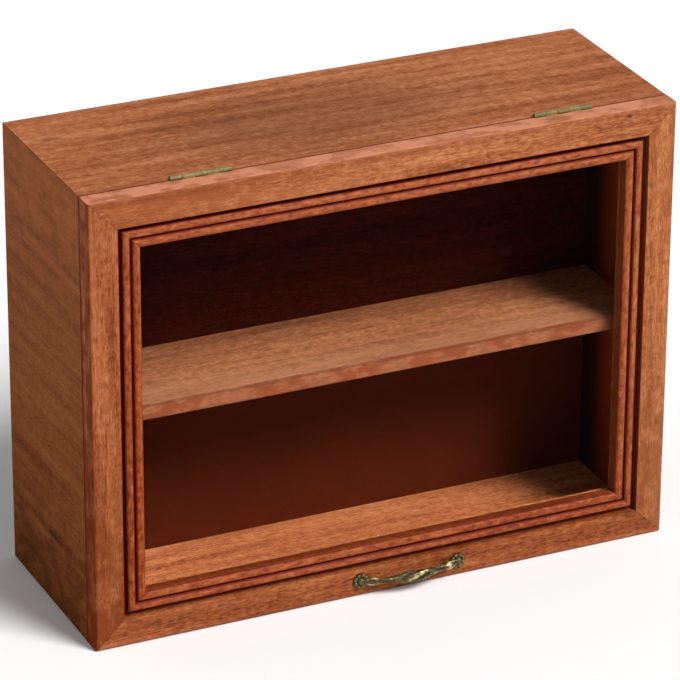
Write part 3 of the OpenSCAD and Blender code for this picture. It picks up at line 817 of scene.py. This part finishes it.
def rosette(side):
    """A flower of lobes round a dome, on the wood at one end of the bow."""
    turn = around(ROSETTE_SIDES)
    rho = np.linspace(1, 0, ROSETTE_ROWS)[:, None]
    petal = np.abs(np.cos((turn - np.pi / LOBES) * LOBES / 2))
    rim = ROSETTE_R + LOBE_R * (0.5 + 0.5 * petal ** 0.6)
    radius = rho * rim
    dome = np.clip(1 - (radius / DOME_R) ** 2, 0, None) ** 0.5 * (ROSETTE_H - ROSETTE_T)
    plump = np.sqrt(np.clip(1 - ((rho - PETAL_MIDDLE) / PETAL_HALF) ** 2, 0, None))
    leafy = plump * (0.5 + 0.5 * petal ** 0.8)
    ring = np.exp(-(((radius - RING_R) / RING_W) ** 2))
    height = PETAL_FOOT + (ROSETTE_T - ROSETTE_EDGE) * leafy + dome - RING_DEPTH * ring
    height = np.where(rho > 0.999, ROSETTE_EDGE, height)
    front = np.stack([radius * np.cos(turn), height + 0 * turn, radius * np.sin(turn)], axis=-1)
    wall = np.stack([rim * np.cos(turn), 0 * turn, rim * np.sin(turn)], axis=-1)
    points = np.concatenate([wall, front], axis=0)
    crest = np.clip(0.2 + 0.42 * leafy + 0.12 * dome - 0.4 * ring, 0, 1)
    crest = np.concatenate([0 * wall[:, :, 0], crest + 0 * turn], axis=0)

    vertices, faces, shade = tube(points[:-1], crest[:-1], closed_ends=False)
    faces.append(tuple(range(ROSETTE_SIDES)))
    last = len(vertices) - ROSETTE_SIDES
    tip = len(vertices)
    vertices = np.vstack([vertices, points[-1, :1]])
    shade = np.append(shade, crest[-1, 0])
    for j in range(ROSETTE_SIDES):
        faces.append((last + j, tip, last + (j + 1) % ROSETTE_SIDES))
    vertices[:, 0] += side * HANDLE_SPAN / 2
    return vertices, faces, shade


def blade(side, rise):
    """A pointed leaf that runs from a rosette onto the bow's end."""
    t = np.linspace(0, 1, BLADE_RINGS)[:, None]
    a = around(BLADE_SIDES)
    width = BLADE_W * np.sin(np.pi * np.clip(t, 0.001, 0.999)) ** 0.7 + 0.04
    reach = BLADE_START + BLADE_LENGTH * t
    lift = BLADE_LIFT + BLADE_ARCH * np.sin(np.pi * t * 0.8) - 0.2 * t
    spread = rise * (BLADE_SPREAD * np.sin(np.pi * (0.15 + 0.75 * t)) * (1 - 0.6 * t))
    vein = np.exp(-((np.sin(a) / 0.25) ** 2)) * np.clip(np.cos(a), 0, 1)
    points = np.stack([
        side * (HANDLE_SPAN / 2 - reach) + 0 * a,
        lift + 0.5 * width * np.cos(a) * (1 - 0.35 * vein),
        spread + width * 0.8 * np.sin(a),
    ], axis=-1)
    # Brighter on the face turned away from the wood, a painted highlight, and darker along the vein
    crest = 0.55 + 0.4 * np.cos(a) - 0.5 * vein
    return tube(points, crest + 0 * t)


def build(name, parts, body, material):
    """One smooth object from several closed shells given in millimetres in the bow pull's own frame."""
    shells, faces, crests = [], [], []
    start = 0
    for vertices, shell_faces, crest in parts:
        shells.append(vertices)
        faces += [tuple(start + i for i in face) for face in shell_faces]
        crests.append(crest)
        start += len(vertices)
    local = np.vstack(shells)
    world = np.stack([HANDLE_X + local[:, 0], FACE_Y - local[:, 1], HANDLE_Z + local[:, 2]], axis=1) * MM
    mesh = bpy.data.meshes.new(name)
    mesh.from_pydata(world.tolist(), [], faces)
    mesh.validate()
    mark = mesh.attributes.new("crest", "FLOAT", "POINT")
    mark.data.foreach_set("value", np.concatenate(crests).astype(np.float32))
    mesh.shade_smooth()
    piece = bpy.data.objects.new(name, mesh)
    bpy.context.scene.collection.objects.link(piece)
    mesh.materials.append(material)
    skin = bmesh.new()
    skin.from_mesh(mesh)
    bmesh.ops.recalc_face_normals(skin, faces=skin.faces)
    skin.to_mesh(mesh)
    skin.free()
    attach(piece, body)
    return piece


# Cast brass: sizes in millimetres, and its relief in metres
CAST_CLOUD = 2.2
CAST_GRIT = 1 / 2.4
CAST_CLOUD_MOST = 0.9
CAST_RELIEF_M = 0.00016


def cast_brass(name):
    """Aged cast brass: nearly black green in the recesses, bright on the crests as rubbed wear and painted
    highlight.
    """
    g = Graph(name)
    place = g.place()
    crest = g.node("ShaderNodeAttribute", attribute_name="crest").outputs["Fac"]
    cloud = g.noise(place, CAST_CLOUD, detail=4.0, rough=0.6)
    grit = g.noise(place, CAST_GRIT, detail=3.0, rough=0.6)
    relief = g.vary(crest, cloud, CAST_CLOUD_MOST)
    colour = g.ramp(relief, [
        (0.05, light(28, 22, 10)), (0.38, light(76, 65, 34)),
        (0.62, light(112, 94, 54)), (0.92, light(202, 186, 140)),
    ])
    rough = g.ease(relief, 0.1, 0.9, 0.6, 0.34)
    normal = g.bump(g.plus(g.times(grit, 0.5), cloud), CAST_RELIEF_M, 0.7)
    return g.finish(g.principled(colour, rough, normal, Metallic=0.6))


handle_parts = [bow(), rosette(-1), rosette(1)]
handle_parts += [blade(side, rise) for side in (-1, 1) for rise in (-1, 1)]
handle = build("bow_pull", handle_parts, "door", cast_brass("cast_brass"))
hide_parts("handle_bow")

# The studio, in metres, with the lamps' strengths
FLOOR_HALF = 12.0
FLOOR_DROP = 0.0003
FLOOR_DULL = (0.92, 0.92, 0.92, 1.0)
FLOOR_CLEAN = (0.95, 0.95, 0.95, 1.0)
FLOOR_CLOUD_MM = 400.0
ROOM_LIGHT = 0.34
SUN_STRENGTH = 3.3
SUN_SPREAD_DEG = 24.0
SUN_FROM = (0.45, -0.75, 0.95)


def stage_floor():
    """A pale floor, a hair below the case so that the two faces don't meet."""
    h = FLOOR_HALF
    mesh = bpy.data.meshes.new("floor")
    mesh.from_pydata([(-h, -h, 0), (h, -h, 0), (h, h, 0), (-h, h, 0)], [], [(0, 1, 2, 3)])
    floor = bpy.data.objects.new("floor", mesh)
    bpy.context.scene.collection.objects.link(floor)
    floor.location.z = -FLOOR_DROP
    g = Graph("pale_floor")
    tone = g.noise(g.place(), FLOOR_CLOUD_MM, detail=3.0)
    colour = g.ramp(tone, [(0.3, FLOOR_DULL), (0.7, FLOOR_CLEAN)])
    mesh.materials.append(g.finish(g.principled(colour, 0.9, Specular_IOR_Level=0.1)))


def light_room():
    """Even white light from all round, shown without a film look."""
    world = bpy.data.worlds.new("studio")
    world.use_nodes = True
    bpy.context.scene.world = world
    background = world.node_tree.nodes["Background"]
    background.inputs["Color"].default_value = (1.0, 1.0, 1.0, 1.0)
    background.inputs["Strength"].default_value = ROOM_LIGHT
    bpy.context.scene.view_settings.view_transform = "Standard"


def sun(name, direction, strength, spread):
    """One soft lamp, whose light comes from the given direction."""
    data = bpy.data.lights.new(name, "SUN")
    data.energy = strength
    data.angle = math.radians(spread)
    made = bpy.data.objects.new(name, data)
    bpy.context.scene.collection.objects.link(made)
    towards = Vector(direction).normalized()
    made.location = AIM + towards
    made.rotation_euler = towards.to_track_quat("Z", "Y").to_euler()


# The camera at the photograph's viewing angle, with its aim and distance in metres
AIM = Vector((-0.03020, -0.0709, 0.16550))
AZIMUTH = math.radians(-24.875)
ELEVATION = math.radians(25.076)
ROLL = math.radians(0.301)
DISTANCE = 2.4895
LENS_MM = 235.6
SENSOR_MM = 36.0


def camera():
    """Looks at the aim from the photograph's side, height and tilt."""
    level = math.cos(ELEVATION)
    back = Vector((math.sin(AZIMUTH) * level, -math.cos(AZIMUTH) * level, math.sin(ELEVATION)))
    right = (-back).cross(Vector((0, 0, 1))).normalized()
    up = right.cross(-back)
    turned_right = right * math.cos(ROLL) + up * math.sin(ROLL)
    turned_up = up * math.cos(ROLL) - right * math.sin(ROLL)
    data = bpy.data.cameras.new("camera")
    data.sensor_width = SENSOR_MM
    data.lens = LENS_MM
    made = bpy.data.objects.new("camera", data)
    bpy.context.scene.collection.objects.link(made)
    turn = Matrix((turned_right, turned_up, back)).transposed()
    made.matrix_world = Matrix.Translation(AIM + back * DISTANCE) @ turn.to_4x4()
    bpy.context.scene.camera = made


stage_floor()
light_room()
sun("key", SUN_FROM, SUN_STRENGTH, SUN_SPREAD_DEG)
camera()
